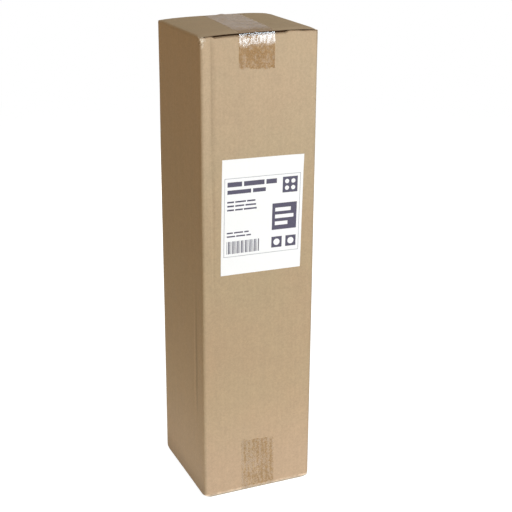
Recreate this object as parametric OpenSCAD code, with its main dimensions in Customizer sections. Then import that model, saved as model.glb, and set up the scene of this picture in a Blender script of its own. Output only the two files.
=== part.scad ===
// A tall, square shipping carton of kraft corrugated board, taped shut at both ends,
// with a printed paper label on its front. It is full and sealed, so it is one solid.
// The front faces -Y, +Z is up, and the origin is the middle of the underside.

/* [Carton] */
// Width across the front panel
carton_w = 155; // [135:1:300]
// Depth from the front panel to the back panel
carton_d = 155; // [100:1:300]
// Height with the flaps closed
carton_h = 620; // [420:1:1200]
// Thickness of the corrugated board
board_t = 3; // [2:0.1:5]
// Radius of the four upright edges
upright_r = 4; // [2:0.5:8]
// Radius of the folds along the top and bottom edges
fold_r = 3.5; // [2:0.5:6]

/* [Flaps] */
// How far the seam between the two outer flaps lies to the right of the middle
seam_x = 2; // [-10:0.5:10]
// Gap between the two outer flaps along that seam
seam_gap = 2; // [1:0.5:4]
// How far the cut edges of the outer flaps sit in from the front and back panels
flap_in = 1.5; // [0:0.1:3]
// Height of the open slit between a top outer flap and the flap under it
slit_h = 1; // [0.5:0.1:2]
// Depth of that slit
slit_depth = 9; // [6:0.5:20]
// How far the top of the front and back panels leans in towards the flaps
lean_in = 1.5; // [0:0.1:3]
// Height over which it leans in
lean_h = 12; // [6:1:30]

/* [Dents] */
// Distance of the pressed crease from the left edge of the front panel
crease_x = 15; // [10:0.5:20]
// Width of the crease
crease_w = 6; // [3:0.5:8]
// Depth of the crease at its top end
crease_deep = 0.7; // [0.3:0.1:1.5]
// Length of the crease down from the top
crease_len = 170; // [60:5:300]
// Size of the crushed corner at the top left of the front
crush = 5; // [3:0.5:8]

/* [Manufacturer's joint] */
// Width of the open line where the panel ends at the glued upright edge, back right
joint_w = 1.5; // [1:0.1:3]
// Depth of that line
joint_deep = 0.8; // [0.4:0.1:2]

/* [Tape] */
// Width of the packing tape
tape_w = 48; // [36:1:72]
// Thickness of the packing tape
tape_t = 0.1; // [0.05:0.05:0.3]
// Place of the top tape to the right of the middle, at the middle of the carton
top_tape_x = 2; // [-15:0.5:15]
// Sideways run of the top tape for each millimetre of its length
top_tape_slant = 0.08; // [0:0.005:0.1]
// Sideways run of its tails, which were pulled nearly straight down
top_tail_slant = 0.02; // [0:0.005:0.1]
// Length of the tails of the top tape
top_tail = 41; // [20:1:100]
// Place of the bottom tape to the right of the middle
bottom_tape_x = 1; // [-15:0.5:15]
// Sideways run of the bottom tape for each millimetre of its length
bottom_tape_slant = 0.01; // [0:0.005:0.1]
// Length of the tails of the bottom tape
bottom_tail = 75; // [20:1:100]
// Distance between the teeth of the torn tape ends
tooth_pitch = 3; // [2:0.5:6]
// Height of those teeth
tooth_h = 1; // [0.5:0.1:2]

/* [Label] */
// Width of the paper label
label_w = 111; // [80:1:120]
// Height of the paper label
label_h = 151; // [110:1:200]
// Thickness of the paper label
label_t = 0.15; // [0.1:0.05:0.4]
// Place of the label to the right of the middle of the panel
label_x = 3.8; // [-6:0.1:6]
// Distance from the top of the carton down to the label
label_drop = 152; // [60:1:220]
// Clockwise turn of the label on the panel
label_turn = 1.2; // [0:0.1:2]
// Thickness of the print
ink_t = 0.05; // [0.02:0.01:0.1]
// Blank strip of the label above and below the print
label_blank = 24; // [10:1:30]
// Blank strip of the label at each side of the print
label_side = 3.5; // [2:0.5:8]

/* [Hidden] */

kraft = [0.76, 0.67, 0.54];
clear_tape = [0.72, 0.58, 0.44];
paper_white = [0.97, 0.97, 0.98];
slate_ink = [0.33, 0.31, 0.4];
grey_ink = [0.7, 0.7, 0.72];

// Segments of a quarter round
round_steps = 6;
// Reach of a cutting shape past the surface that it cuts
past = 1;
// Heights where the front and back panels fold over: the load presses the bottom ones shut
low_fold = board_t;
high_fold = carton_h - board_t - slit_h;
// Middle of the label above the floor
label_z = carton_h - label_drop - label_h / 2;
// The printed block, and the unit that its shapes are drawn in
block_w = label_w - 2 * label_side;
block_h = label_h - 2 * label_blank;
u = min(block_w, block_h) / 100;

// Points along part of a circle, from one angle to another
function arc(x, y, r, from, to) =
    [for (i = [0:round_steps]) let (a = from + (to - from) * i / round_steps)
        [x + r * cos(a), y + r * sin(a)]];

// Points mirrored to the other side, in the order that closes the outline
function mirrored(points) =
    [for (i = [len(points) - 1:-1:0]) [-points[i][0], points[i][1]]];

// Lays an outline drawn in (across, up) upright, and makes it as long as given towards -Y
module upright(length) rotate([90, 0, 0]) linear_extrude(length) children();

// The carton seen from above: square, with the four upright edges rounded
module plan_form() {
    x = carton_w / 2 - upright_r;
    y = carton_d / 2 - upright_r;
    linear_extrude(carton_h) polygon(concat(
        arc(x, y, upright_r, 0, 90),
        arc(-x, y, upright_r, 90, 180),
        arc(-x, -y, upright_r, 180, 270),
        arc(x, -y, upright_r, 270, 360)));
}

// The carton seen from the front: the outer flaps fold over from the left and right panels
module front_form() {
    x = carton_w / 2 - fold_r;
    right_side = concat(
        arc(x, fold_r, fold_r, -90, 0),
        arc(x, carton_h - fold_r, fold_r, 0, 90));
    translate([0, carton_d / 2 + past, 0])
        upright(carton_d + 2 * past)
            polygon(concat(right_side, mirrored(right_side)));
}

// The carton seen from the side: the panels fold in under the cut edges of the outer flaps
module side_form() {
    edge = carton_d / 2 - flap_in;
    low = carton_d / 2 - fold_r;
    high = carton_d / 2 - lean_in - fold_r;
    front_side = concat(
        [[edge, 0], [edge, low_fold]],
        arc(low, low_fold + fold_r, fold_r, -90, 0),
        [[carton_d / 2, high_fold - fold_r - lean_h]],
        arc(high, high_fold - fold_r, fold_r, 0, 90),
        [[high, high_fold + slit_h], [edge, high_fold + slit_h], [edge, carton_h]]);
    rotate([0, 0, 90])
        translate([0, (carton_w + 2 * past) / 2, 0])
            upright(carton_w + 2 * past)
                polygon(concat(front_side, mirrored(front_side)));
}

// The open slits between the top outer flaps and the flaps under them, front and back
module slits() {
    across = carton_w - 2 * board_t - 2 * fold_r;
    for (y = [-1, 1])
        translate([-across / 2, y * (carton_d - slit_depth) / 2 - slit_depth / 2, high_fold])
            cube([across, slit_depth, slit_h]);
}

// The open seams where the two outer flaps meet, at the top and at the bottom
module seams() {
    for (z = [-past, carton_h - board_t])
        translate([seam_x - seam_gap / 2, -carton_d / 2 - past, z])
            cube([seam_gap, carton_d + 2 * past, board_t + past]);
}

// A pressed crease beside the left edge of the front panel, deepest at its top end
module crease() {
    tilt = atan(crease_deep / crease_len);
    top = carton_h - board_t;
    translate([crease_x - carton_w / 2, -carton_d / 2, top - crease_len])
        rotate([-tilt, 0, 0])
            translate([0, 0, -crease_len])
                linear_extrude(2 * crease_len + board_t)
                    polygon([[-crease_w / 2, 0], [-crease_w / 2, -crease_w],
                        [crease_w / 2, -crease_w], [crease_w / 2, 0],
                        [crease_w / 6, crease_deep], [-crease_w / 6, crease_deep]]);
}

// The crushed corner: one flat bite across the top of the near left edge
module crushed_corner() {
    translate([-carton_w / 2, -carton_d / 2, carton_h])
        rotate([0, 55, 225])
            translate([-2 * crush, -2 * crush, -crush])
                cube(4 * crush);
}

// The line where the last panel ends at the glued upright edge
module joint_line() {
    translate([carton_w / 2 - upright_r - joint_w, carton_d / 2 - joint_deep, low_fold + fold_r])
        cube([joint_w, joint_deep + past, carton_h - 2 * (low_fold + fold_r) - lean_h]);
}

module carton() {
    color(kraft) difference() {
        intersection() {
            plan_form();
            front_form();
            side_form();
        }
        slits();
        seams();
        crease();
        crushed_corner();
        joint_line();
        translate([0, 0, -past])
            tape_run(bottom_tape_x, bottom_tape_slant, tape_t + past);
    }
}

// Middle of a slanted strip of tape, at a distance along it from the middle of its length
function tape_middle(x, slant, along) = x + slant * along;

// The flat run of a strip over the flaps, out to both wrapped edges, lying on z = 0
module tape_run(x, slant, thick) {
    near = carton_d / 2 - flap_in;
    back = tape_middle(x, slant, near);
    front = tape_middle(x, slant, -near);
    linear_extrude(thick)
        polygon([[front - tape_w / 2, -near - tape_t], [front + tape_w / 2, -near - tape_t],
            [front + tape_w / 2, -near], [back + tape_w / 2, near],
            [back + tape_w / 2, near + tape_t], [back - tape_w / 2, near + tape_t],
            [back - tape_w / 2, near], [front - tape_w / 2, -near]]);
}

// Outline of a tail in (across, down), with a toothed torn end; it starts with its middle at
// start, and side is -1 in front and 1 behind
module tail_outline(start, slant, tail, side) {
    teeth = floor(tape_w / tooth_pitch);
    end = start + slant * side * tail;
    torn = [for (i = [0:2 * teeth])
        [end + tape_w / 2 - tape_w * i / (2 * teeth), -tail + (i % 2) * tooth_h]];
    polygon(concat([[start - tape_w / 2, 0], [start + tape_w / 2, 0]], torn));
}

// Cross-section of a tail in (outward, down): over the flap's cut edge, across the notch
// under it, and then along the panel, which leans in by lean over a height of rise
module tail_section(lean, rise, tail) {
    edge = carton_d / 2 - flap_in;
    fold = carton_d / 2 - lean;
    bend = board_t + slit_h + fold_r;
    leaning = rise > 0 ? [[fold, -bend], [carton_d / 2, -bend - rise]] : [];
    inner = concat(
        [[edge, 0], [edge, -board_t], [fold, -board_t - slit_h]],
        leaning,
        [[carton_d / 2, -tail - past]]);
    outer = [for (i = [len(inner) - 1:-1:0]) [inner[i][0] + tape_t, inner[i][1]]];
    polygon(concat(inner, outer));
}

// One tail of a strip, hanging from z = 0 in front of the carton
module tape_tail(start, slant, tail, lean, rise, side) {
    intersection() {
        translate([0, carton_d, 0]) upright(2 * carton_d)
            tail_outline(start, slant, tail, side);
        rotate([0, 0, side * 90]) translate([0, carton_w, 0]) upright(2 * carton_w)
            tail_section(lean, rise, tail);
    }
}

// A whole strip: the run over the flaps and a tail at each end
module tape_strip(x, slant, tail_slant, tail, lean, rise) {
    near = carton_d / 2 - flap_in;
    union() {
        tape_run(x, slant, tape_t);
        for (side = [-1, 1])
            tape_tail(tape_middle(x, slant, side * near), tail_slant, tail, lean, rise, side);
    }
}

module top_tape() {
    color(clear_tape) translate([0, 0, carton_h])
        tape_strip(top_tape_x, top_tape_slant, top_tail_slant, top_tail, lean_in, lean_h);
}

// The bottom strip is pressed into the underside, so that the carton stands on both
module bottom_tape() {
    color(clear_tape) translate([0, 0, tape_t]) mirror([0, 0, 1])
        tape_strip(bottom_tape_x, bottom_tape_slant, bottom_tape_slant, bottom_tail, 0, 0);
}

// Places what is drawn flat in (across, up) on the front panel, at a height off the panel
module on_label(off, thick) {
    translate([label_x, -carton_d / 2 - off, label_z])
        rotate([90, 0, 0]) rotate([0, 0, -label_turn])
            linear_extrude(thick) children();
}

module shipping_label() {
    color(paper_white) on_label(0, label_t)
        square([label_w, label_h], center = true);
}

// Where each bar of a line starts: the bars before it and the spaces between them
function bar_start(bars, i, space) = i == 0 ? 0 : bar_start(bars, i - 1, space) + bars[i - 1] + space;

// A line of plain bars in place of words, from the left, with the foot of the line at y
module bar_line(bars, x, y, high, space) {
    for (i = [0:len(bars) - 1])
        translate([x + bar_start(bars, i, space), y]) square([bars[i], high]);
}

// Upright stripes of three widths
module stripes(x, y, count, step, high) {
    for (i = [0:count - 1])
        translate([x + i * step, y]) square([step * (0.3 + 0.2 * ((i * 5) % 3)), high]);
}

// A dark square with four round windows
module windowed_square(x, y, side) {
    difference() {
        translate([x, y]) square(side);
        for (i = [0:1], j = [0:1])
            translate([x + side * (0.29 + 0.42 * i), y + side * (0.29 + 0.42 * j)])
                circle(r = side * 0.14, $fn = 24);
    }
}

// A dark panel with three light bars in it
module barred_panel(x, y, wide, high) {
    difference() {
        translate([x, y]) square([wide, high]);
        for (i = [0:2])
            translate([x + wide * 0.12, y + high * (0.17 + 0.26 * i)])
                square([wide * (0.76 - 0.12 * ((i + 2) % 3)), high * 0.14]);
    }
}

// A dark tile with a light disc in it
module disc_tile(x, y, side) {
    difference() {
        translate([x, y]) square(side);
        translate([x + side / 2, y + side / 2]) circle(r = side * 0.3, $fn = 24);
    }
}

module label_ink() {
    left = -block_w / 2 + 4 * u;
    right = block_w / 2 - 4 * u;
    top = block_h / 2 - 4 * u;
    bottom = -block_h / 2 + 4 * u;
    color(slate_ink) on_label(label_t, ink_t) {
        bar_line([19 * u, 27 * u, 14 * u], left, top - 7 * u, 6 * u, 2.5 * u);
        bar_line([31 * u, 17 * u], left, top - 16 * u, 5 * u, 2.5 * u);
        windowed_square(right - 20 * u, top - 20 * u, 20 * u);
        for (i = [0:2])
            bar_line([9 * u, (14 - 2 * i) * u, (11 + 3 * i) * u], left, top - (27 + 5 * i) * u, 2 * u, 1.5 * u);
        for (i = [0:1])
            bar_line([(8 + 3 * i) * u, 12 * u, 6 * u], left, bottom + (26 - 4.5 * i) * u, 1.8 * u, 1.5 * u);
        stripes(left, bottom, 23, 1.9 * u, 16 * u);
        barred_panel(right - 33 * u, bottom + 25 * u, 33 * u, 34 * u);
        for (i = [0:1])
            disc_tile(right - (33 - 19 * i) * u, bottom + 2 * u, 14 * u);
    }
}

// A thin grey line around the printed block
module label_rule() {
    line_w = 0.8 * u;
    color(grey_ink) on_label(label_t, ink_t) difference() {
        square([block_w, block_h], center = true);
        square([block_w - 2 * line_w, block_h - 2 * line_w], center = true);
    }
}

carton();
top_tape();
bottom_tape();
shipping_label();
label_ink();
label_rule();
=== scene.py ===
import math

import bpy
import numpy as np
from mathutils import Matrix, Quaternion, Vector, noise


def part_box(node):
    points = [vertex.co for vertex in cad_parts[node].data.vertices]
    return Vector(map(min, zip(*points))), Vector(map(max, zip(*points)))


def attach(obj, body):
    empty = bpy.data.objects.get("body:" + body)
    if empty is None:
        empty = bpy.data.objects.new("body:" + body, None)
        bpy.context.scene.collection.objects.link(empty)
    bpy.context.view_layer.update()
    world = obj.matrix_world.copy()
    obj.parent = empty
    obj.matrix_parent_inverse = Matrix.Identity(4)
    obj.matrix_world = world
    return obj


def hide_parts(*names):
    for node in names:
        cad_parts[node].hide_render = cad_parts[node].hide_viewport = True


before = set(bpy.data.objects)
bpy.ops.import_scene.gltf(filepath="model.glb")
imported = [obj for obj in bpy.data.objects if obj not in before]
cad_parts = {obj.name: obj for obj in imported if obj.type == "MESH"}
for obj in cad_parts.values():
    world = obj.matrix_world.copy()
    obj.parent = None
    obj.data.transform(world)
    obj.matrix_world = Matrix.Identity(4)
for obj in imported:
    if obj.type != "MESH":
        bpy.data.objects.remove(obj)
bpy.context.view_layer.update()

# Sizes are in metres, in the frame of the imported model: the front faces -Y and +Z is up.
MM = 0.001
# The noise that warps and crumples the board is the same each run
noise.seed_set(1)

# The board and its folds, as the solid has them
HALF_W, HALF_D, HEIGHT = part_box("carton")[1]
BOARD = 3 * MM
UPRIGHT_R = 4 * MM
FOLD_R = 3.5 * MM
# How far the outer flaps' cut edges lie in from the front and the back
FLAP_IN = 1.5 * MM
# How far, and over what height, the panels lean in to the top folds
LEAN_IN = 1.5 * MM
LEAN_H = 12 * MM
# The slit under the outer flaps at the top, and the height of the folds under it
SLIT_H = 1 * MM
TOP_FOLD = HEIGHT - BOARD - SLIT_H
# Where the outer flaps meet, where the front is creased and where the painted shade of a dent lies on the
# left panel
SEAM_X = 2 * MM
CREASE_X = 15 * MM - HALF_W
DENT_Y = 24 * MM - HALF_D
# The crushed corner, at the top left of the front
CORNER = (-HALF_W, -HALF_D, HEIGHT)
# Distance from one flute of the board to the next, how deep the paper sinks between them, and
# the distance between the cuts that carry these waves
FLUTE = 6.35 * MM
FLUTE_SINK = 0.05 * MM
FLUTE_CUT = FLUTE / 5
# Thickness of the board's outer papers
LINER = 0.45 * MM

# The camera, where the photograph was taken from
CAMERA_PLACE = Vector((-0.5576, -1.3471, 0.8383))
CAMERA_AIM = Vector((0.025, -0.0101, 0.312))
CAMERA_LENS = 81.2
SENSOR_WIDTH = 36
CAMERA_ROLL = math.radians(0.36)


def add_camera():
    """The camera at the photograph's viewing angle."""
    data = bpy.data.cameras.new("camera")
    data.lens = CAMERA_LENS
    data.sensor_width = SENSOR_WIDTH
    camera = bpy.data.objects.new("camera", data)
    bpy.context.collection.objects.link(camera)
    camera.location = CAMERA_PLACE
    camera.rotation_mode = "QUATERNION"
    look = (CAMERA_AIM - CAMERA_PLACE).to_track_quat("-Z", "Y")
    camera.rotation_quaternion = look @ Quaternion((0, 0, 1), CAMERA_ROLL)
    bpy.context.scene.camera = camera


add_camera()


# Light and floor

# The soft box stands on the floor, to the right of the camera
KEY_PLACE = Vector((0.84, -1.98, 1.14))
KEY_AIM = Vector((0.0, 0.0, 0.45))
KEY_SIZE = (0.75, 1.45)
KEY_POWER = 43
KEY_COLOUR = (0.80, 0.91, 1.0)
# A smaller one stands behind, below the height of the top
BACK_PLACE = Vector((0.16, 1.80, 0.36))
BACK_AIM = Vector((0.0, 0.0, 0.34))
BACK_SIZE = (0.36, 0.5)
BACK_POWER = 14
BACK_COLOUR = (1.0, 0.95, 0.88)
# What the room throws on matt surfaces, from the sides and from above
ROOM_SIDES = (0.470, 0.240, 0.035)
ROOM_ABOVE = (0.365, 0.390, 0.370)
# What glossy surfaces mirror, near the horizon and overhead
MIRROR_SIDES = (0.76, 0.71, 0.67)
MIRROR_ABOVE = (0.35, 0.325, 0.34)
FLOOR_RADIUS = 2.6
FLOOR_COLOUR = (0.45, 0.45, 0.43)
# Glow that the camera sees in the floor, which lifts it to white where no shadow falls
FLOOR_GLOW = (0.86, 0.88, 0.91)
# The white light that the floor throws up on the foot of the carton: the middle of each pool,
# the distances where it starts to fade and ends, and its strength
FLOOR_POOLS = (
    ((-0.15, -0.10, 0.0), 0.25, 0.80, 0.46),
    ((0.24, -0.30, 0.0), 0.05, 0.40, 0.33),
    ((-0.26, 0.0, 0.0), 0.08, 0.26, 0.50),
)


def put(tree, kind, inputs=None, **settings):
    """Adds a node. Each input is a socket to link or a plain value."""
    node = tree.nodes.new("ShaderNode" + kind)
    for name, value in settings.items():
        setattr(node, name, value)
    for name, value in (inputs or {}).items():
        if isinstance(value, bpy.types.NodeSocket):
            tree.links.new(value, node.inputs[name])
        else:
            node.inputs[name].default_value = value
    return node


def maths(tree, operation, first, second=0.0, third=0.0):
    """The result of one sum, with any input a socket or a number."""
    node = put(tree, "Math", {0: first, 1: second, 2: third}, operation=operation)
    return node.outputs[0]


def times(tree, *factors):
    """The product of two or more sockets and numbers."""
    product = factors[0]
    for factor in factors[1:]:
        product = maths(tree, "MULTIPLY", product, factor)
    return product


def dimmed(tree, shade, mask, amount):
    """A shade made darker by an amount where the mask is 1."""
    return times(tree, shade, maths(tree, "MULTIPLY_ADD", mask, -amount, 1.0))


def axes_of(tree, vector):
    """The X, Y and Z of a vector."""
    return put(tree, "SeparateXYZ", {0: vector}).outputs


def blend(tree, share, first, second, kind="MIX"):
    """Two colours mixed, with share 0 for the first and 1 for the second."""
    inputs = {0: share, 6: colour(first), 7: colour(second)}
    node = put(tree, "Mix", inputs, data_type="RGBA", blend_type=kind)
    return node.outputs[2]


def colour(value):
    """A colour with its alpha, or the socket itself."""
    return value if isinstance(value, bpy.types.NodeSocket) else (*value, 1.0)


def grey(tree, value):
    """The grey of a value."""
    return put(tree, "CombineColor", {0: value, 1: value, 2: value}).outputs[0]


def spread(tree, value, low, high, to_low=0.0, to_high=1.0):
    """A value between low and high, spread smoothly over a new range."""
    inputs = {"Value": value, "From Min": low, "From Max": high, "To Min": to_low, "To Max": to_high}
    node = put(tree, "MapRange", inputs, interpolation_type="SMOOTHSTEP")
    return node.outputs["Result"]


def fade_out(tree, value, full, none):
    """1 up to full, falling to 0 at none."""
    return spread(tree, value, full, none, 1.0, 0.0)


def between(tree, value, none, full, still, none_again):
    """1 from full to still, falling to 0 at none on the one side and none_again on the other."""
    return times(tree, spread(tree, value, none, full), fade_out(tree, value, still, none_again))


def grain(tree, place, scale, detail=2.0, stretch=(1.0, 1.0, 1.0), rough=0.5):
    """Noise of a size, drawn out along an axis where stretch is under 1 there."""
    mapped = put(tree, "Mapping", {"Vector": place, "Scale": stretch}).outputs[0]
    inputs = {"Vector": mapped, "Scale": scale, "Detail": detail, "Roughness": rough}
    return put(tree, "TexNoise", inputs).outputs["Fac"]


def seen_by(tree, *rays):
    """1 for rays of the kinds named, and 0 for the rest."""
    path = put(tree, "LightPath")
    total = path.outputs[rays[0]]
    for ray in rays[1:]:
        total = maths(tree, "MAXIMUM", total, path.outputs[ray])
    return total


def light_room():
    """A white room for the camera and for gloss, with a plain soft light on matt surfaces."""
    world = bpy.data.worlds.new("room")
    bpy.context.scene.world = world
    world.use_nodes = True
    tree = world.node_tree
    direction = put(tree, "TexCoord").outputs["Generated"]
    height = spread(tree, axes_of(tree, direction)["Z"], 0.0, 0.9)
    matt = blend(tree, height, ROOM_SIDES, ROOM_ABOVE)
    gloss = blend(tree, height, MIRROR_SIDES, MIRROR_ABOVE)
    shown = blend(tree, seen_by(tree, "Is Glossy Ray"), matt, gloss)
    shown = blend(tree, seen_by(tree, "Is Camera Ray", "Is Transmission Ray"), shown, (1.0, 1.0, 1.0))
    tree.links.new(shown, tree.nodes["Background"].inputs["Color"])


def add_soft_box(name, place, aim, size, power, tint):
    """A rectangular lamp, with its width and height in size."""
    data = bpy.data.lights.new(name, "AREA")
    data.shape = "RECTANGLE"
    data.size, data.size_y = size
    data.energy = power
    data.color = tint
    lamp = bpy.data.objects.new(name, data)
    bpy.context.collection.objects.link(lamp)
    lamp.location = place
    lamp.rotation_mode = "QUATERNION"
    lamp.rotation_quaternion = (aim - place).to_track_quat("-Z", "Y")


def add_floor():
    """A pale round floor that keeps the carton's shadow and fades to white at its rim."""
    bpy.ops.object.select_all(action="DESELECT")
    bpy.ops.mesh.primitive_circle_add(vertices=96, radius=FLOOR_RADIUS, fill_type="NGON")
    floor = bpy.context.object
    floor.name = "floor"
    material = bpy.data.materials.new("floor")
    material.use_nodes = True
    tree = material.node_tree
    tree.nodes.clear()
    place = put(tree, "TexCoord").outputs["Object"]
    reach = put(tree, "VectorMath", {0: place}, operation="LENGTH").outputs["Value"]
    far = spread(tree, reach, 0.3 * FLOOR_RADIUS, 0.95 * FLOOR_RADIUS)
    matt = put(tree, "BsdfDiffuse", {"Color": colour(FLOOR_COLOUR)}).outputs[0]
    lit = 0.0
    for middle, start, end, strength in FLOOR_POOLS:
        away = put(tree, "VectorMath", {0: place, 1: middle}, operation="DISTANCE").outputs["Value"]
        lit = maths(tree, "ADD", spread(tree, away, start, end, strength, 0.0), lit)
    lit = grey(tree, times(tree, lit, seen_by(tree, "Is Diffuse Ray")))
    seen = seen_by(tree, "Is Camera Ray")
    glow = put(tree, "Emission", {"Color": blend(tree, seen, lit, FLOOR_GLOW)}).outputs[0]
    near = put(tree, "AddShader", {0: matt, 1: glow})
    white = put(tree, "Emission", {"Strength": 1.0}).outputs[0]
    mirrored = seen_by(tree, "Is Glossy Ray", "Is Transmission Ray")
    share = maths(tree, "MAXIMUM", times(tree, far, seen), mirrored)
    mixed = put(tree, "MixShader", {0: share, 1: near.outputs[0], 2: white}).outputs[0]
    put(tree, "OutputMaterial", {"Surface": mixed})
    floor.data.materials.append(material)


light_room()
add_soft_box("soft_box", KEY_PLACE, KEY_AIM, KEY_SIZE, KEY_POWER, KEY_COLOUR)
add_soft_box("back_box", BACK_PLACE, BACK_AIM, BACK_SIZE, BACK_POWER, BACK_COLOUR)
add_floor()
bpy.context.scene.view_settings.view_transform = "Standard"


# Materials

# The paper, yellower towards the top and pinker towards the foot
KRAFT_YELLOW = (0.488, 0.372, 0.246)
KRAFT_PINK = (0.500, 0.356, 0.236)
# The paper on the worn upright folds, the painted highlight along the folds of the foot, and the painted
# shadow right under it
KRAFT_WORN = (0.580, 0.452, 0.300)
KRAFT_FOOT_HIGHLIGHT = (0.850, 0.680, 0.510)
KRAFT_FOOT_SHADOW = (0.340, 0.290, 0.225)
TORN_PAPER = (0.780, 0.700, 0.580)
CUT_PAPER = (0.520, 0.395, 0.250)
# The near black of the hollows in the cut edges and of the pits at the torn corner, painted shade
FLUTE_SHADE = (0.045, 0.022, 0.010)
# What each face of the film lets through, where it is glued down and where it is loose
TAPE_TINT = (0.908, 0.838, 0.680)
TAPE_LOOSE = (0.982, 0.945, 0.890)
LOW_TAPE_TINT = (0.900, 0.838, 0.655)
LOW_TAPE_LOOSE = (0.990, 0.972, 0.930)
TAPE_HAZE = (0.8, 0.78, 0.76)
# How strongly the film mirrors, and the most that it does at a glancing angle
FILM_IOR = 2.0
FILM_MIRROR_MOST = 0.40
LABEL_WHITE = (0.95, 0.95, 0.955)
SLATE = (0.085, 0.075, 0.125)
PALE_GREY = (0.50, 0.50, 0.53)


def new_material(name):
    """A material with its node tree, its main shader and the place on the object."""
    material = bpy.data.materials.new(name)
    material.use_nodes = True
    tree = material.node_tree
    place = put(tree, "TexCoord").outputs["Object"]
    return material, tree, tree.nodes["Principled BSDF"], place


def flute_lines(tree, place):
    """0 on the crests of the flutes and 1 between them; they stand upright on the panels."""
    part = axes_of(tree, place)
    normal = axes_of(tree, put(tree, "NewGeometry").outputs["Normal"])
    facing = maths(tree, "GREATER_THAN", maths(tree, "ABSOLUTE", normal["Y"]), 0.7)
    sideways = maths(tree, "SUBTRACT", 1.0, facing)
    across = maths(tree, "ADD", times(tree, part["X"], facing), times(tree, part["Y"], sideways))
    turn = maths(tree, "COSINE", times(tree, across, 2 * math.pi / FLUTE))
    return maths(tree, "MULTIPLY_ADD", turn, -0.5, 0.5)


def near_low_folds(tree, place, full, none, axes="XY"):
    """1 along the folds around the underside up to the height full, fading to 0 at none."""
    part = axes_of(tree, place)
    low = fade_out(tree, part["Z"], full, none)
    outer = 0.0
    for axis in axes:
        half = HALF_W if axis == "X" else HALF_D
        edge = spread(tree, maths(tree, "ABSOLUTE", part[axis]), half - 4 * MM, half - 2 * MM)
        outer = maths(tree, "MAXIMUM", edge, outer)
    return times(tree, low, outer)


def near_upright_folds(tree, place):
    """1 along the four upright folds, fading over the paper beside them."""
    part = axes_of(tree, place)
    masks = []
    for axis, half in (("X", HALF_W), ("Y", HALF_D)):
        reach = maths(tree, "ABSOLUTE", part[axis])
        masks.append(spread(tree, reach, half - 3.5 * MM, half - 0.8 * MM))
    return times(tree, *masks)


def painted_dent_shade(tree, place):
    """The painted shade and highlight of a soft dent on the left panel: a dark line, with a lighter line
    behind it.
    """
    part = axes_of(tree, place)
    on_left = maths(tree, "LESS_THAN", part["X"], -HALF_W + 3 * MM)
    span = times(tree, between(tree, part["Z"], 90 * MM, 170 * MM, 210 * MM, 320 * MM), on_left)
    wander = maths(tree, "MULTIPLY_ADD", grain(tree, place, 30, 2), 5 * MM, -2.5 * MM)
    off = maths(tree, "ADD", maths(tree, "SUBTRACT", part["Y"], DENT_Y), wander)
    dark = fade_out(tree, maths(tree, "ABSOLUTE", off), 0.0, 5 * MM)
    beyond = maths(tree, "ABSOLUTE", maths(tree, "SUBTRACT", off, 7 * MM))
    light = fade_out(tree, beyond, 0.0, 4 * MM)
    change = maths(tree, "MULTIPLY_ADD", dark, -0.22, times(tree, light, 0.12))
    return maths(tree, "MULTIPLY_ADD", change, span, 1.0)


def crease_painted_shade(tree, place):
    """Painted shade in the crease on the front, sharp on its left and soft on its right."""
    part = axes_of(tree, place)
    off = maths(tree, "SUBTRACT", part["X"], CREASE_X)
    line = between(tree, off, -2.2 * MM, -1.1 * MM, -1 * MM, 5 * MM)
    on_front = fade_out(tree, part["Y"], 3 * MM - HALF_D, 5 * MM - HALF_D)
    return times(tree, line, on_front, spread(tree, part["Z"], 340 * MM, 520 * MM))


def far_fold_painted_shade(tree, place):
    """Painted shade along the far side of the upright fold at the right of the front."""
    part = axes_of(tree, place)
    line = spread(tree, part["X"], HALF_W - 4.0 * MM, HALF_W - 1.4 * MM)
    return times(tree, line, fade_out(tree, part["Y"], 2 * MM - HALF_D, 7 * MM - HALF_D))


def board_colour(tree, place, on_left):
    """Cloudy brown, yellower towards the top, and yellower still on the left panel as painted shade
    colour.
    """
    clouds = spread(tree, grain(tree, place, 9, 3), 0.32, 0.68, -0.35, 0.35)
    foot = fade_out(tree, axes_of(tree, place)["Z"], 20 * MM, 580 * MM)
    tone = put(tree, "Clamp", {0: maths(tree, "ADD", clouds, foot)}).outputs[0]
    # The left panel's yellower tone is painted shade colour, not the paper's own
    return blend(tree, dimmed(tree, tone, on_left, 0.7), KRAFT_YELLOW, KRAFT_PINK)


def worn_folds_and_painted_foot_shading(tree, place, paper):
    """The paper's colour with its worn upright folds, a painted highlight along the folds of the foot and
    a painted shadow under it.
    """
    worn = spread(tree, grain(tree, place, 160, 4), 0.38, 0.62, 0.05, 0.45)
    paper = blend(tree, times(tree, near_upright_folds(tree, place), worn), paper, KRAFT_WORN)
    # Painted highlight: lighter along the folds of the foot, front and back
    foot_highlight = spread(tree, grain(tree, place, 120, 3), 0.35, 0.60, 0.45, 1.0)
    foot_highlight = times(tree, near_low_folds(tree, place, 4.0 * MM, 6.4 * MM, "Y"), foot_highlight)
    paper = blend(tree, foot_highlight, paper, KRAFT_FOOT_HIGHLIGHT)
    # Painted shadow: darker right along the folds of the underside
    foot_shadow = times(tree, near_low_folds(tree, place, 1.8 * MM, 2.7 * MM), 0.75)
    return blend(tree, foot_shadow, paper, KRAFT_FOOT_SHADOW)


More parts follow.
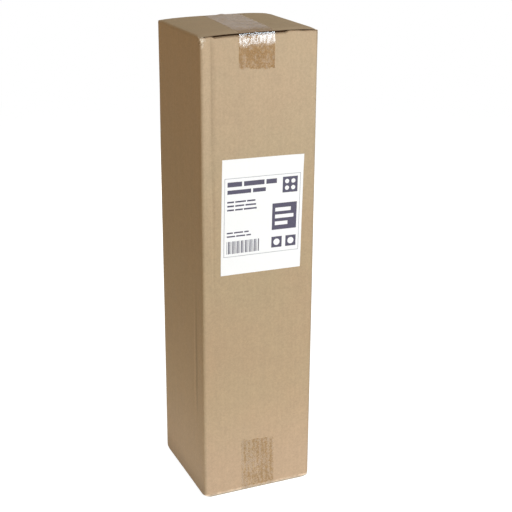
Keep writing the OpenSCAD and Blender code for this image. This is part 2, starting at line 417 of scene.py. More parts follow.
def torn_corner(tree, place, paper):
    """The paper's colour with the shreds of the crushed corner and the painted shade of its pits."""
    away = put(tree, "VectorMath", {0: place, 1: CORNER}, operation="SUBTRACT").outputs[0]
    away = put(tree, "VectorMath", {0: away, 1: (1.0, 1.0, 0.6)}, operation="MULTIPLY").outputs[0]
    reach = put(tree, "VectorMath", {0: away}, operation="LENGTH").outputs["Value"]
    near = fade_out(tree, reach, 4 * MM, 10 * MM)
    shreds = grain(tree, place, 520, 3, (1.0, 1.0, 0.6), 0.6)
    torn = times(tree, near, spread(tree, shreds, 0.50, 0.58))
    paper = blend(tree, torn, paper, TORN_PAPER)
    # Painted shade: the pits are near black
    pits = times(tree, near, spread(tree, shreds, 0.36, 0.42, 0.85, 0.0))
    return blend(tree, pits, paper, FLUTE_SHADE)


def board_shade(tree, place, on_left, mottle, fibres):
    """The paper's shade: painted light and shade up the carton, between the flutes, in the dent, the
    crease and along the far fold, with random tone down to the small flecks.
    """
    height = axes_of(tree, place)["Z"]
    shade = spread(tree, mottle, 0.25, 0.75, 0.972, 1.028)
    off_left = maths(tree, "SUBTRACT", 1.0, on_left)
    # Painted light: brighter towards the foot, except on the left panel
    low = times(tree, spread(tree, height, 0.0, 200 * MM, 0.105, 0.0), off_left)
    # Painted shadow: the left panel darker towards the foot
    painted_left_foot_shadow = spread(tree, height, 0.0, 35 * MM, -0.17, 0.0)
    low = maths(tree, "MULTIPLY_ADD", painted_left_foot_shadow, on_left, low)
    # Painted light: brighter towards the top and darker in the middle of the height
    high = spread(tree, height, 320 * MM, 600 * MM, 0.940, 1.05)
    shade = times(tree, shade, maths(tree, "ADD", low, high))
    shade = times(tree, shade, spread(tree, fibres, 0.28, 0.72, 0.91, 1.09))
    streaks = grain(tree, place, 150, 2, (1.0, 1.0, 0.06))
    shade = times(tree, shade, spread(tree, streaks, 0.3, 0.7, 0.988, 1.010))
    # Painted shade: darker between the flutes
    painted_flute_shade = maths(tree, "MULTIPLY_ADD", flute_lines(tree, place), -0.014, 1.005)
    flecks = spread(tree, grain(tree, place, 1100, 2, (1.0, 1.0, 1.6), 0.8), 0.68, 0.78)
    shade = dimmed(tree, times(tree, shade, painted_flute_shade), flecks, 0.30)
    # Painted shade and highlight of a dent on the left panel
    shade = times(tree, shade, painted_dent_shade(tree, place))
    # Painted shade in the crease on the front
    shade = dimmed(tree, shade, crease_painted_shade(tree, place), 0.09)
    # Painted shade along the far side of the right fold
    return dimmed(tree, shade, far_fold_painted_shade(tree, place), 0.28)


def kraft_board():
    """Brown kraft paper over flutes: cloudy colour, fibres, faint stripes, worn folds, and painted light
    and shade.
    """
    material, tree, shader, place = new_material("kraft_board")
    part = axes_of(tree, place)
    on_left = fade_out(tree, part["X"], -HALF_W, -HALF_W + 5 * MM)
    mottle = grain(tree, place, 80, 3, (1.0, 1.0, 0.7), 0.6)
    fibres = grain(tree, place, 420, 4, (1.0, 1.0, 1.0), 0.85)
    paper = board_colour(tree, place, on_left)
    paper = worn_folds_and_painted_foot_shading(tree, place, paper)
    paper = torn_corner(tree, place, paper)
    shade = board_shade(tree, place, on_left, mottle, fibres)
    # Painted light tint: a little less blue in the middle of the height than at the top and the foot
    blue = maths(tree, "ADD", spread(tree, part["Z"], 300 * MM, 580 * MM, 0.945, 1.0),
                 spread(tree, part["Z"], 20 * MM, 160 * MM, 0.055, 0.0))
    shades = {0: shade, 1: shade, 2: times(tree, shade, blue)}
    paper = blend(tree, 1.0, paper, put(tree, "CombineColor", shades).outputs[0], "MULTIPLY")
    tree.links.new(paper, shader.inputs["Base Color"])
    tree.links.new(spread(tree, mottle, 0.3, 0.7, 0.78, 0.92), shader.inputs["Roughness"])
    shader.inputs["Specular IOR Level"].default_value = 0.25
    fine = put(tree, "Bump", {"Height": fibres, "Strength": 0.35, "Distance": 0.06 * MM})
    soft = put(tree, "Bump", {"Height": mottle, "Strength": 0.5, "Distance": 0.25 * MM,
                              "Normal": fine.outputs[0]})
    tree.links.new(soft.outputs[0], shader.inputs["Normal"])
    return material


def cut_edge(name, tone, low, high):
    """The torn grain of a cut through the board."""
    material, tree, shader, place = new_material(name)
    fibres = grain(tree, place, 900, 4, (0.4, 0.4, 2.0), 0.75)
    shade = grey(tree, spread(tree, fibres, 0.3, 0.7, low, high))
    tree.links.new(blend(tree, 1.0, tone, shade, "MULTIPLY"), shader.inputs["Base Color"])
    shader.inputs["Roughness"].default_value = 0.95
    shader.inputs["Specular IOR Level"].default_value = 0.1
    bump = put(tree, "Bump", {"Height": fibres, "Strength": 0.6, "Distance": 0.2 * MM})
    tree.links.new(bump.outputs[0], shader.inputs["Normal"])
    return material


def film_loose(tree, place, pressed, patch, ribs, left):
    """1 where the film lies loose on the paper, and 0 where its glue has wetted it.

    The glue takes first on the crests of the flutes, the more so the higher ribs is. Patch sets the
    size of the blots, and left is how much looser the film is along its left side.
    """
    part = axes_of(tree, place)
    blots = grain(tree, place, patch, 4, (1.0, 1.0, 0.6), 0.7)
    dots = maths(tree, "SUBTRACT", grain(tree, place, 480, 1), 0.5)
    lines = maths(tree, "MULTIPLY_ADD", dots, 3.0, flute_lines(tree, place))
    loose = spread(tree, maths(tree, "MULTIPLY_ADD", lines, ribs, blots), 0.45, 0.80)
    loose = maths(tree, "ADD", loose, spread(tree, part["X"], -22 * MM, 6 * MM, left, 0.0))
    loose = maths(tree, "ADD", loose, spread(tree, part["Z"], 10 * MM, 50 * MM, -0.28, 0.0))
    # Painted shade: the film is darker where pressed, near the front of the top
    loose = maths(tree, "MULTIPLY_ADD", pressed, -0.6, loose)
    # Painted highlight: the film is looser, so lighter, along the folds of the foot
    loose = maths(tree, "ADD", loose, near_low_folds(tree, place, 4.4 * MM, 6.4 * MM, "Y"))
    fold = maths(tree, "SUBTRACT", grain(tree, place, 55, 2, (1.0, 1.0, 0.22)), 0.5)
    fold = spread(tree, maths(tree, "ABSOLUTE", fold), 0.010, 0.045, 0.9, 0.0)
    airy = spread(tree, grain(tree, place, 75, 1), 0.42, 0.55)
    loose = maths(tree, "MAXIMUM", loose, times(tree, fold, airy))
    specks = spread(tree, grain(tree, place, 560, 2, (1.0, 1.0, 0.8)), 0.35, 0.7, -0.45, 0.70)
    return put(tree, "Clamp", {0: maths(tree, "ADD", loose, specks)}).outputs[0]


def film_gloss(tree, place, on_top, pressed):
    """The film's mirror, rippled and softer where it hangs slack over the edge, and its share."""
    ripples = grain(tree, place, 420, 3, (1.0, 1.0, 0.3))
    slack = spread(tree, axes_of(tree, place)["Z"], HEIGHT - 17 * MM, HEIGHT - 12 * MM, 0.0, 0.12)
    slack = times(tree, slack, maths(tree, "SUBTRACT", 1.0, on_top))
    squiggles = maths(tree, "SUBTRACT", grain(tree, place, 520, 1, (1.0, 1.0, 0.45)), 0.5)
    height = maths(tree, "MULTIPLY_ADD", ripples, 0.06, times(tree, squiggles, slack))
    bump = put(tree, "Bump", {"Height": height, "Strength": 1.0, "Distance": 0.5 * MM}).outputs[0]
    rough = maths(tree, "MULTIPLY_ADD", slack, 1.1, 0.13)
    mirror = put(tree, "BsdfGlossy", {"Roughness": rough, "Normal": bump}).outputs[0]
    bounce = put(tree, "Fresnel", {"IOR": FILM_IOR, "Normal": bump}).outputs[0]
    bounce = maths(tree, "MINIMUM", bounce, FILM_MIRROR_MOST)
    cloudy = spread(tree, grain(tree, place, 60, 3, (1.0, 1.0, 0.4)), 0.35, 0.65, 0.90, 1.10)
    # Painted shade: the mirror is weaker where pressed, near the front of the top
    dull = maths(tree, "MULTIPLY_ADD", pressed, -0.45, 1.0)
    outer = maths(tree, "SUBTRACT", 1.0, put(tree, "NewGeometry").outputs["Backfacing"])
    return mirror, times(tree, bounce, times(tree, cloudy, dull), outer)


def packing_tape(name, tint, loose_tint, patch, ribs, left):
    """Clear film: the board shows through it, darker where the glue has wetted the paper."""
    material, tree, shader, place = new_material(name)
    tree.nodes.remove(shader)
    part = axes_of(tree, place)
    on_top = maths(tree, "GREATER_THAN", part["Z"], HEIGHT - 1.5 * MM)
    # Painted shade: near the front of the top the film is made darker and mirrors less, standing in for
    # its dimmer sheen where it tilts to the edge
    pressed = times(tree, fade_out(tree, part["Y"], -HALF_D, 45 * MM - HALF_D), on_top)
    loose = film_loose(tree, place, pressed, patch, ribs, left)
    clear = put(tree, "BsdfTransparent", {"Color": blend(tree, loose, tint, loose_tint)}).outputs[0]
    haze = put(tree, "BsdfDiffuse", {"Color": colour(TAPE_HAZE)}).outputs[0]
    film = put(tree, "MixShader", {0: times(tree, loose, 0.03), 1: clear, 2: haze}).outputs[0]
    mirror, share = film_gloss(tree, place, on_top, pressed)
    skin = put(tree, "MixShader", {0: share, 1: film, 2: mirror}).outputs[0]
    tree.links.new(skin, tree.nodes["Material Output"].inputs["Surface"])
    return material


def printed(name, tone, rough, unevenness):
    """Coated paper or print, with a slight unevenness of tone and surface."""
    material, tree, shader, place = new_material(name)
    speckle = grain(tree, place, 500, 3)
    shade = grey(tree, spread(tree, speckle, 0.3, 0.7, 1.0 - unevenness, 1.0))
    tree.links.new(blend(tree, 1.0, tone, shade, "MULTIPLY"), shader.inputs["Base Color"])
    tree.links.new(spread(tree, speckle, 0.3, 0.7, rough - 0.05, rough + 0.05), shader.inputs["Roughness"])
    bump = put(tree, "Bump", {"Height": speckle, "Strength": 0.15, "Distance": 0.03 * MM})
    tree.links.new(bump.outputs[0], shader.inputs["Normal"])
    return material


# Shaping

def only(piece):
    """Makes a piece the one that the next operators act on."""
    bpy.ops.object.select_all(action="DESELECT")
    bpy.context.view_layer.objects.active = piece
    piece.select_set(True)


def copied(node, name):
    """A new piece in a node's own form, with its loose triangles merged into whole faces."""
    piece = bpy.data.objects.new(name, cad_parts[node].data.copy())
    bpy.context.collection.objects.link(piece)
    piece.data.materials.clear()
    only(piece)
    bpy.ops.object.mode_set(mode="EDIT")
    bpy.ops.mesh.select_all(action="SELECT")
    bpy.ops.mesh.remove_doubles(threshold=0.002 * MM)
    bpy.ops.mesh.dissolve_limited(angle_limit=math.radians(0.1))
    bpy.ops.object.mode_set(mode="OBJECT")
    return piece


def cut_across(piece, axis, places):
    """Cuts a piece's faces by a plane at each place along an axis."""
    only(piece)
    direction = Vector([float(i == axis) for i in range(3)])
    bpy.ops.object.mode_set(mode="EDIT")
    for place in places:
        bpy.ops.mesh.select_all(action="SELECT")
        bpy.ops.mesh.bisect(plane_co=direction * place, plane_no=direction)
    bpy.ops.object.mode_set(mode="OBJECT")


def steps(low, high, step):
    """Places from low to high, about a step apart, without the two ends."""
    count = max(1, round((high - low) / step))
    return [low + (high - low) * i / count for i in range(1, count)]


def points_of(piece):
    """A piece's corners as rows of x, y and z."""
    points = np.empty(len(piece.data.vertices) * 3)
    piece.data.vertices.foreach_get("co", points)
    return points.reshape(-1, 3)


def move_to(piece, points):
    """Puts a piece's corners where the rows say."""
    piece.data.vertices.foreach_set("co", points.ravel())
    piece.data.update()


def ease(low, high, value):
    """0 below low and 1 above high, with a smooth rise between."""
    t = np.clip((value - low) / (high - low), 0.0, 1.0)
    return t * t * (3.0 - 2.0 * t)


def sink(across):
    """How far the paper has sunk between the flutes, from 0 on a crest to 1."""
    return 0.5 - 0.5 * np.cos(2 * math.pi * across / FLUTE)


# The slow warp of the board and the quicker one on it: waves in a metre or so, and depth
SLOW_WARP = (7.0, 0.5 * MM)
QUICK_WARP = (34.0, 0.10 * MM)


def settle(points):
    """The slow, slight warp of a packed carton, the same for all that is stuck on it."""
    moved = points.copy()
    for i, point in enumerate(points):
        here = Vector(point)
        slow = noise.noise_vector(here * SLOW_WARP[0])
        quick = noise.noise_vector(here * QUICK_WARP[0])
        moved[i] += np.array(slow * SLOW_WARP[1] + quick * QUICK_WARP[1])
    moved[:, 2] = np.maximum(moved[:, 2], np.minimum(points[:, 2], 0.0))
    near_floor = ease(0.0, 30 * MM, points[:, 2])
    moved[:, 2] = points[:, 2] + (moved[:, 2] - points[:, 2]) * near_floor
    return moved


def finish_piece(piece, nodes, materials, angle=30):
    """Gives a piece its materials, smooth shading and its place in the frame."""
    for material in materials:
        piece.data.materials.append(material)
    only(piece)
    bpy.ops.object.shade_smooth_by_angle(angle=math.radians(angle))
    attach(piece, "root")
    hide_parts(*nodes)


# The carton

# How deep the hollow between the two papers goes at the flaps' cut edges
OPEN_DEPTH = 2.6 * MM
# The score lines beside the upright folds: how far from the fold, how wide and how deep
SCORE_OFF = 5.5 * MM
SCORE_W = 0.9 * MM
SCORE_DEPTH = 0.22 * MM
# The solid's sharp-sided crease on the front: half its width, and the height where it ends
CREASE_HALF = 3.4 * MM
CREASE_FOOT = 430 * MM
# The soft crease that takes its place: how deep, and how far left its deepest line is
CREASE_DEPTH = 1.05 * MM
CREASE_SIDE = 1.6 * MM
# The pressed cut edges of the flaps: the height of their top over the folds, and their thickness
PRESSED_TOP = 2.99 * MM
PRESSED_BOARD = 2.94 * MM
# How far the two flaps' edges are drawn together at the seams
SEAM_CLOSING = 0.75 * MM
# How far the top swells up: along the seam, and more at its right edge
SWELL = 2.4
SWELL_RIGHT = 0.5
# A small ridge at the back end of the seam
RIDGE = 0.8 * MM
RIDGE_X = SEAM_X + 8 * MM
# How much the lower corners are worn, upwards and inwards, and how deep the top corner is crumpled
WORN_UP = 2.0 * MM
WORN_IN = 1.0 * MM
CRUMPLE = 0.9 * MM
# How far these reach from the corners
WORN_REACH = 11 * MM
WORN_HEIGHT = 8 * MM
CRUMPLE_REACH = 14 * MM
# Heights in mm that are cut all round, down from the top and up from the foot
TOP_CUTS = (1.5, 3.5, 5, 7, 8.5, 10, 12, 14, 16, 19.5)
FOOT_CUTS = (1.5, 4.2, 5.4, 8, 10, 14)


def open_cut_edges(piece):
    """Opens the cut edges of the outer flaps between the two papers of the board."""
    only(piece)
    bpy.ops.object.mode_set(mode="EDIT")
    bpy.ops.mesh.select_mode(type="FACE")
    bpy.ops.mesh.select_all(action="DESELECT")
    bpy.ops.object.mode_set(mode="OBJECT")
    for face in piece.data.polygons:
        inner = abs(face.center.x - SEAM_X) < HALF_W - 16 * MM
        on_edge = abs(abs(face.center.y) - (HALF_D - FLAP_IN)) < 0.05 * MM
        in_flap = face.center.z > HEIGHT - BOARD
        face.select = bool(on_edge and inner and in_flap and abs(face.normal.y) > 0.9)
    bpy.ops.object.mode_set(mode="EDIT")
    bpy.ops.mesh.inset(thickness=LINER, depth=-OPEN_DEPTH, use_individual=False)
    bpy.ops.object.mode_set(mode="OBJECT")


def press_flutes(points):
    """Sinks the paper between the flutes, upright on the panels and across on the flaps."""
    x, y, z = points.T
    ends = ease(0.0, 8 * MM, z - BOARD - FOLD_R) * ease(0.0, 8 * MM, TOP_FOLD - FOLD_R - z)
    for axis, across, half in ((1, x, HALF_D), (0, y, HALF_W)):
        other = HALF_W if axis == 1 else HALF_D
        inside = ease(0.0, 6 * MM, other - UPRIGHT_R - np.abs(across))
        on_panel = np.abs(points[:, axis]) > half - 0.02 * MM
        points[:, axis] -= np.sign(points[:, axis]) * on_panel * inside * ends * FLUTE_SINK * sink(across)
    inside = ease(0.0, 6 * MM, HALF_W - FOLD_R - np.abs(x))
    on_top = z > HEIGHT - 0.02 * MM
    points[:, 2] -= on_top * inside * FLUTE_SINK * sink(y)


def crease_beside_folds(points):
    """The score lines pressed beside each upright fold."""
    x, y = points[:, 0], points[:, 1]
    for axis, across, half in ((1, x, HALF_D), (0, y, HALF_W)):
        other = HALF_W if axis == 1 else HALF_D
        off = other - np.abs(across) - SCORE_OFF
        on_panel = np.abs(points[:, axis]) > half - 0.3 * MM
        groove = np.exp(-((off / SCORE_W) ** 2))
        points[:, axis] -= np.sign(points[:, axis]) * on_panel * groove * SCORE_DEPTH


def fill_crease(points):
    """Fills the sharp-sided crease on the front, so that a softer one can take its place."""
    x, y, z = points.T
    fold = TOP_FOLD - FOLD_R
    front = -HALF_D + LEAN_IN * np.clip((z - fold + LEAN_H) / LEAN_H, 0.0, 1.0)
    on_panel = (y < front + 2 * MM) & (z > CREASE_FOOT) & (z < fold)
    in_crease = np.abs(x - CREASE_X) < CREASE_HALF
    points[:, 1] = np.where(in_crease & on_panel, np.minimum(y, front), y)


def join_in_crease(piece):
    """Joins the corners that meet where the sharp-sided crease was filled."""
    only(piece)
    bpy.ops.object.mode_set(mode="EDIT")
    bpy.ops.mesh.select_mode(type="VERT")
    bpy.ops.mesh.select_all(action="DESELECT")
    bpy.ops.object.mode_set(mode="OBJECT")
    for corner in piece.data.vertices:
        x, y, z = corner.co
        in_crease = abs(x - CREASE_X) < CREASE_HALF + 1.1 * MM
        corner.select = in_crease and y < 3 * MM - HALF_D and z > CREASE_FOOT
    bpy.ops.object.mode_set(mode="EDIT")
    bpy.ops.mesh.remove_doubles(threshold=0.02 * MM)
    bpy.ops.object.mode_set(mode="OBJECT")


def soft_crease(points):
    """The crease on the front, near its left edge: a soft groove that fades downwards."""
    x, y, z = points.T
    off = x - CREASE_X + CREASE_SIDE
    rise = 0.35 * ease(0.0, 2.0 * MM, off) + 0.65 * np.clip(off / (7.0 * MM), 0.0, 1.0)
    groove = ease(-9.5 * MM, 0.0, off) * (1.0 - rise)
    fade = ease(290 * MM, 560 * MM, z) * ease(0.0, 14 * MM, HEIGHT - 4 * MM - z)
    in_front = y < -HALF_D + 2.5 * MM
    points[:, 1] += in_front * groove * fade * CREASE_DEPTH


def crushed_share(x):
    """How much of the board's thickness is left along a flap's cut edge, thinnest at its ends."""
    left = ease(-HALF_W + 15 * MM, -HALF_W + 20 * MM, x)
    right = 1.0 - ease(33 * MM, 39 * MM, x) + 0.3 * np.exp(-(((x - 58 * MM) / (6 * MM)) ** 2))
    return 0.24 + 0.74 * left * right


def press_flap_edges(points):
    """Presses the cut edges of the top flaps down until the slit under them is shut."""
    x, y, z = points.T
    under = HEIGHT - BOARD
    kept = crushed_share(np.where(y < 0, x, -x))
    top = TOP_FOLD + PRESSED_TOP
    shut = top - PRESSED_BOARD * kept
    fold = shut - 0.05 * MM
    panel = z + (fold - TOP_FOLD) * ease(TOP_FOLD - 25 * MM, TOP_FOLD, z)
    in_slit = fold + (z - TOP_FOLD) / SLIT_H * (shut - fold)
    flap = shut + (z - under) / BOARD * (top - shut)
    pressed = np.where(z <= TOP_FOLD, panel, np.where(z < under, in_slit, flap))
    at_edge = ease(HALF_D - 20 * MM, HALF_D - 3 * MM, np.abs(y))
    points[:, 2] += at_edge * (pressed - z)


def swell_top(points):
    """The top swells a little above its folds, most of all along the seam, and more to the right."""
    x, y, z = points.T
    u = np.clip(x / HALF_W, -1.0, 1.0)
    swell = SWELL_RIGHT * (1.0 + u) + SWELL * (1.0 - u ** 4) * (1.0 + 0.1 * u)
    points[:, 2] += swell * MM * ease(HEIGHT - 45 * MM, HEIGHT - 5 * MM, z)
    ridge = np.exp(-(((x - RIDGE_X) / (4 * MM)) ** 2)) * ease(0.5 * HALF_D, HALF_D, y)
    points[:, 2] += RIDGE * ridge * (z > HEIGHT - BOARD - 0.5 * MM)


def narrow_seams(points):
    """Draws the edges of the two outer flaps together along the seams."""
    x, z = points[:, 0], points[:, 2]
    off = x - SEAM_X
    on_flap = np.minimum(z, HEIGHT - z) < BOARD + 0.1 * MM
    near = 1.0 - ease(1.0 * MM, 6.0 * MM, np.abs(off))
    points[:, 0] -= np.sign(off) * on_flap * near * SEAM_CLOSING


def round_foot(points):
    """Wears the four lower corners round."""
    x, y, z = points.T
    off = np.hypot(HALF_W - np.abs(x), HALF_D - np.abs(y))
    worn = (1.0 - ease(0.0, WORN_REACH, off)) * (1.0 - ease(0.0, WORN_HEIGHT, z))
    near_front = 0.6 + 0.4 * (x < 0) * (y < 0)
    points[:, 2] += near_front * WORN_UP * worn
    points[:, 0] -= np.sign(x) * near_front * WORN_IN * worn
    points[:, 1] -= np.sign(y) * near_front * WORN_IN * worn


def crumple_corner(points):
    """Crumples the crushed corner at the top left of the front."""
    away = np.linalg.norm(points - np.array(CORNER), axis=1)
    for i in np.nonzero(away < CRUMPLE_REACH)[0]:
        here = Vector(points[i])
        push = noise.noise_vector(here * 420.0) * CRUMPLE
        points[i] += np.array(push) * float(1.0 - ease(3 * MM, CRUMPLE_REACH, away[i]))


def mark_cut_faces(piece):
    """Slot 1 for the cut papers of the outer flaps and slot 2 for the hollow between them."""
    for face in piece.data.polygons:
        x, y, z = face.center
        depth = HALF_D - FLAP_IN - abs(y)
        above = z - (HEIGHT - BOARD)
        off = abs(x - SEAM_X)
        if above < 0.01 * MM or abs(x) > HALF_W - 5 * MM or off < 1.2 * MM:
            continue
        hollow = LINER - 0.02 * MM < above < BOARD - LINER + 0.02 * MM
        if hollow and 0.02 * MM < depth < OPEN_DEPTH + 0.1 * MM:
            face.material_index = 2
        elif abs(depth) < 0.02 * MM and abs(face.normal.y) > 0.9:
            face.material_index = 1


def make_carton():
    """The closed carton: kraft panels and flaps, with open cut edges and pressed folds."""
    piece = copied("carton", "carton_board")
    cut_across(piece, 0, (-HALF_W + 5 * MM, HALF_W - 5 * MM))
    open_cut_edges(piece)
    rows = steps(0.0, HEIGHT, 24 * MM)
    rows += [HEIGHT - down * MM for down in TOP_CUTS]
    rows += [up * MM for up in FOOT_CUTS]
    cut_across(piece, 2, rows)
    cut_across(piece, 0, steps(-HALF_W, HALF_W, FLUTE_CUT))
    cut_across(piece, 1, steps(-HALF_D, HALF_D, FLUTE_CUT))
    mark_cut_faces(piece)
    points = points_of(piece)
    for shape in (fill_crease, press_flutes, soft_crease, crease_beside_folds, narrow_seams,
                  press_flap_edges, swell_top, crumple_corner, round_foot):
        shape(points)
    move_to(piece, settle(points))
    join_in_crease(piece)
    board = kraft_board()
    edge = cut_edge("cut_paper", CUT_PAPER, 0.75, 1.1)
    # The hollow between the papers is painted near black, as painted shade
    hollow = cut_edge("flute_hollow", FLUTE_SHADE, 0.4, 1.3)
    finish_piece(piece, ["carton"], (board, edge, hollow))


# The tape

TAPE_W = 47 * MM
TAPE_T = 0.1 * MM
# How far the film lies off the board
TAPE_GAP = 0.05 * MM
# How far the torn ends reach down from the top and up from the foot, and how far they stand off
TOP_TAIL = 41 * MM
LOW_TAIL = 75 * MM
END_LIFT = 0.09 * MM
# The waves and the finer teeth of the torn ends, and how far in from the end they start
TORN_WAVES = 1.7 * MM
TORN_TEETH = 1.6 * MM
TORN_REACH = 7 * MM
# Faces across a strip, and the length of each along it
TAPE_FACES = 100
TAPE_STEP = 0.9 * MM


def wrap_path(top, tail):
    """Half of a strip's line in (outward, height), from the middle of the carton to its end."""
    edge = HALF_D - FLAP_IN
    line = [(0.0, 0.0), (edge - 1.2 * MM, 0.0), (edge - 0.3 * MM, -0.10 * MM), (edge, -0.5 * MM)]
    if top:
        line += [(edge + 0.05 * MM, -2.6 * MM), (HALF_D + 0.1 * MM, -15 * MM)]
    else:
        line += [(edge + 0.10 * MM, -BOARD), (HALF_D, -BOARD - FOLD_R)]
    line += [(HALF_D + 0.05 * MM, -tail - 5 * MM)]
    return [(out + TAPE_GAP, top + (TAPE_GAP + rise if top else -TAPE_GAP - rise)) for out, rise in line]


def along(path, distance):
    """The point and outward normal at each distance along a path."""
    path = np.array(path)
    lengths = np.concatenate([[0.0], np.cumsum(np.linalg.norm(np.diff(path, axis=0), axis=1))])
    out = np.interp(distance, lengths, path[:, 0])
    height = np.interp(distance, lengths, path[:, 1])
    ahead = distance + 0.6 * MM
    behind = np.maximum(distance - 0.6 * MM, 0.0)
    slope_out = np.interp(ahead, lengths, path[:, 0]) - np.interp(behind, lengths, path[:, 0])
    slope_up = np.interp(ahead, lengths, path[:, 1]) - np.interp(behind, lengths, path[:, 1])
    size = np.hypot(slope_out, slope_up)
    return out, height, -slope_up / size, slope_out / size


def rough_values(first, second, seed):
    """Smooth noise for each pair of values."""
    return np.array([noise.noise(Vector((a, b, seed))) for a, b in zip(first, second)])


def thicken(piece):
    """Gives a strip its thickness, outwards from the face that is stuck on."""
    thick = piece.modifiers.new("film", "SOLIDIFY")
    thick.thickness = TAPE_T
    thick.offset = 1.0
    only(piece)
    bpy.ops.object.modifier_apply(modifier=thick.name)
    bpy.ops.object.mode_set(mode="EDIT")
    bpy.ops.mesh.select_all(action="SELECT")
    bpy.ops.mesh.normals_make_consistent(inside=False)
    bpy.ops.object.mode_set(mode="OBJECT")


def make_tape(name, node, top, middle_x, slant, tail, tail_slant, torn_slant, wrinkle, material):
    """A strip stuck over the flaps and down the front and back, with torn wavy ends.

    Wrinkle gives how far the film stands off, from the places across and along the strip and the
    distance past the edge of the flaps.
    """
    edge = HALF_D - FLAP_IN
    reach = edge + tail
    count_along = round(2 * reach / TAPE_STEP)
    bpy.ops.object.select_all(action="DESELECT")
    bpy.ops.mesh.primitive_grid_add(x_subdivisions=TAPE_FACES, y_subdivisions=count_along, size=1)
    piece = bpy.context.object
    piece.name = name
    grid = points_of(piece)
    a = grid[:, 0] * TAPE_W
    s = grid[:, 1] * 2 * reach
    end = np.sign(s)
    torn = TORN_WAVES * rough_values(a * 300, end * 1.3, 3.1) + torn_slant * a
    torn += TORN_TEETH * rough_values(a * 760, end * 1.3, 8.4)
    s += end * torn * ease(reach - TORN_REACH, reach, np.abs(s))
    path = wrap_path(HEIGHT if top else 0.0, tail)
    out, height, normal_out, normal_up = along(path, np.abs(s))
    if not top:
        normal_out, normal_up = -normal_out, -normal_up
    lift = wrinkle(a, s, np.abs(s) - edge)
    side = np.where(s < 0, -1.0, 1.0)
    on_flaps = np.clip(s, -edge, edge)
    x = middle_x + slant * on_flaps + tail_slant * (s - on_flaps) + a
    y = side * (out + lift * normal_out)
    z = height + lift * normal_up
    points = np.column_stack([x, y, z])
    if top:
        press_flap_edges(points)
        swell_top(points)
    move_to(piece, settle(points))
    thicken(piece)
    finish_piece(piece, [node], [material], angle=60)


def top_wrinkles(a, s, down):
    """Film that lies loose over the edge in upright wrinkles, and is stuck flat below them."""
    loose = ease(-2 * MM, 3 * MM, down) * (1.0 - ease(14 * MM, 19 * MM, down))
    # Slanting folds and upright streaks, calmer on the right half of the strip
    folds = rough_values(a * 430 + down * 170, down * 90, 1.7)
    streaks = rough_values(a * 640, down * 70, 5.2)
    calm = 1.0 - 0.6 * ease(-8 * MM, 12 * MM, a)
    # The film spans the hollow over the edge and lands on the panel along a wavy line
    landing = (15 + 5 * rough_values(a * 150, a * 0, 6.6)) * MM
    way = np.clip(down / landing, 0.0, 1.0)
    lean = 1.6 * MM * (way - np.clip(down / (15 * MM), 0.0, 1.0))
    lean += 1.2 * MM * way * (1.0 - way) * ease(-10 * MM, 8 * MM, a)
    # Lines drawn out along the strip on the flaps, before the edge
    on_top = ease(-32 * MM, -4 * MM, down) * (1.0 - ease(-1 * MM, 1 * MM, down))
    drawn = rough_values(a * 500, down * 35, 2.9)
    over = (0.26 * folds * calm + 0.16 * streaks * (0.45 + 0.55 * calm)) * loose + 0.16 * drawn * on_top
    stuck = 0.03 * rough_values(a * 380, down * 260, 4.7) * ease(14 * MM, 18 * MM, down)
    return lean + (over + 0.06 * loose + stuck + 0.04) * MM + lifted_end(a, down, TOP_TAIL)


def lifted_end(a, down, tail):
    """The last of a torn end, standing off the board."""
    off = 0.5 + rough_values(a * 240, a * 0, 7.7)
    return END_LIFT * np.clip(off, 0.0, 1.0) * ease(tail - 2.5 * MM, tail, down)


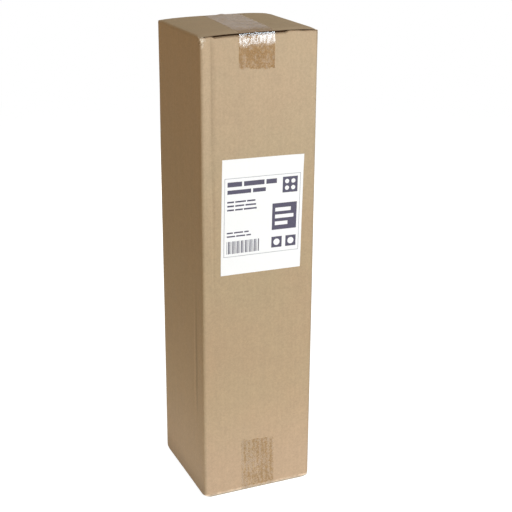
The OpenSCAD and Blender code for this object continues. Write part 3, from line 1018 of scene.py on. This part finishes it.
def bottom_wrinkles(a, s, down):
    """Film that was pressed on well, with a small bulge over the edge."""
    bulge = np.exp(-(((down - 4.5 * MM) / (2.2 * MM)) ** 2))
    small = rough_values(a * 260, s * 60, 4.4)
    return (0.05 + 0.04 * small + 0.45 * bulge * (1.0 + 0.5 * small)) * MM + lifted_end(a, down, LOW_TAIL)


# The label

# How far the label follows the flutes, how high two of its corners stand off, and how much of
# the paper comes up with them
LABEL_SINK = 0.035 * MM
UPPER_LIFT = 0.7 * MM
LOWER_LIFT = 0.5 * MM
LIFT_REACH = 20 * MM


def lay_label(piece):
    """Lays a flat piece of the label over the flutes, with two corners a little lifted."""
    low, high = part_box("shipping_label")
    cut_across(piece, 0, steps(low[0], high[0], FLUTE_CUT))
    cut_across(piece, 2, steps(low[2], high[2], 8 * MM))
    points = points_of(piece)
    x, z = points[:, 0], points[:, 2]
    points[:, 1] += LABEL_SINK * sink(x)
    for corner, lift in ((high, UPPER_LIFT), (low, LOWER_LIFT)):
        away = np.hypot(x - corner[0], z - corner[2])
        points[:, 1] -= lift * (1.0 - ease(0.0, LIFT_REACH, away))
    move_to(piece, settle(points))


def make_label():
    """The paper label with its dark and pale print."""
    parts = (
        ("shipping_label", "label_sheet", "label_paper", printed("label_paper", LABEL_WHITE, 0.42, 0.015)),
        ("label_ink", "label_dark_print", "slate_ink", printed("slate_ink", SLATE, 0.45, 0.18)),
        ("label_rule", "label_pale_print", "grey_ink", printed("grey_ink", PALE_GREY, 0.5, 0.12)),
    )
    for node, name, slot, material in parts:
        piece = copied(node, name)
        lay_label(piece)
        finish_piece(piece, [node], [material], angle=40)


make_carton()
make_tape("top_tape_strip", "top_tape", top=True, middle_x=2 * MM, slant=0.08, tail=TOP_TAIL,
          tail_slant=0.02, torn_slant=0.065, wrinkle=top_wrinkles,
          material=packing_tape("top_tape", TAPE_TINT, TAPE_LOOSE,
                                patch=110, ribs=0.08, left=0.0))
make_tape("bottom_tape_strip", "bottom_tape", top=False, middle_x=1 * MM, slant=0.01, tail=LOW_TAIL,
          tail_slant=0.01, torn_slant=-0.085, wrinkle=bottom_wrinkles,
          material=packing_tape("bottom_tape", LOW_TAPE_TINT, LOW_TAPE_LOOSE,
                                patch=140, ribs=0.30, left=0.32))
make_label()
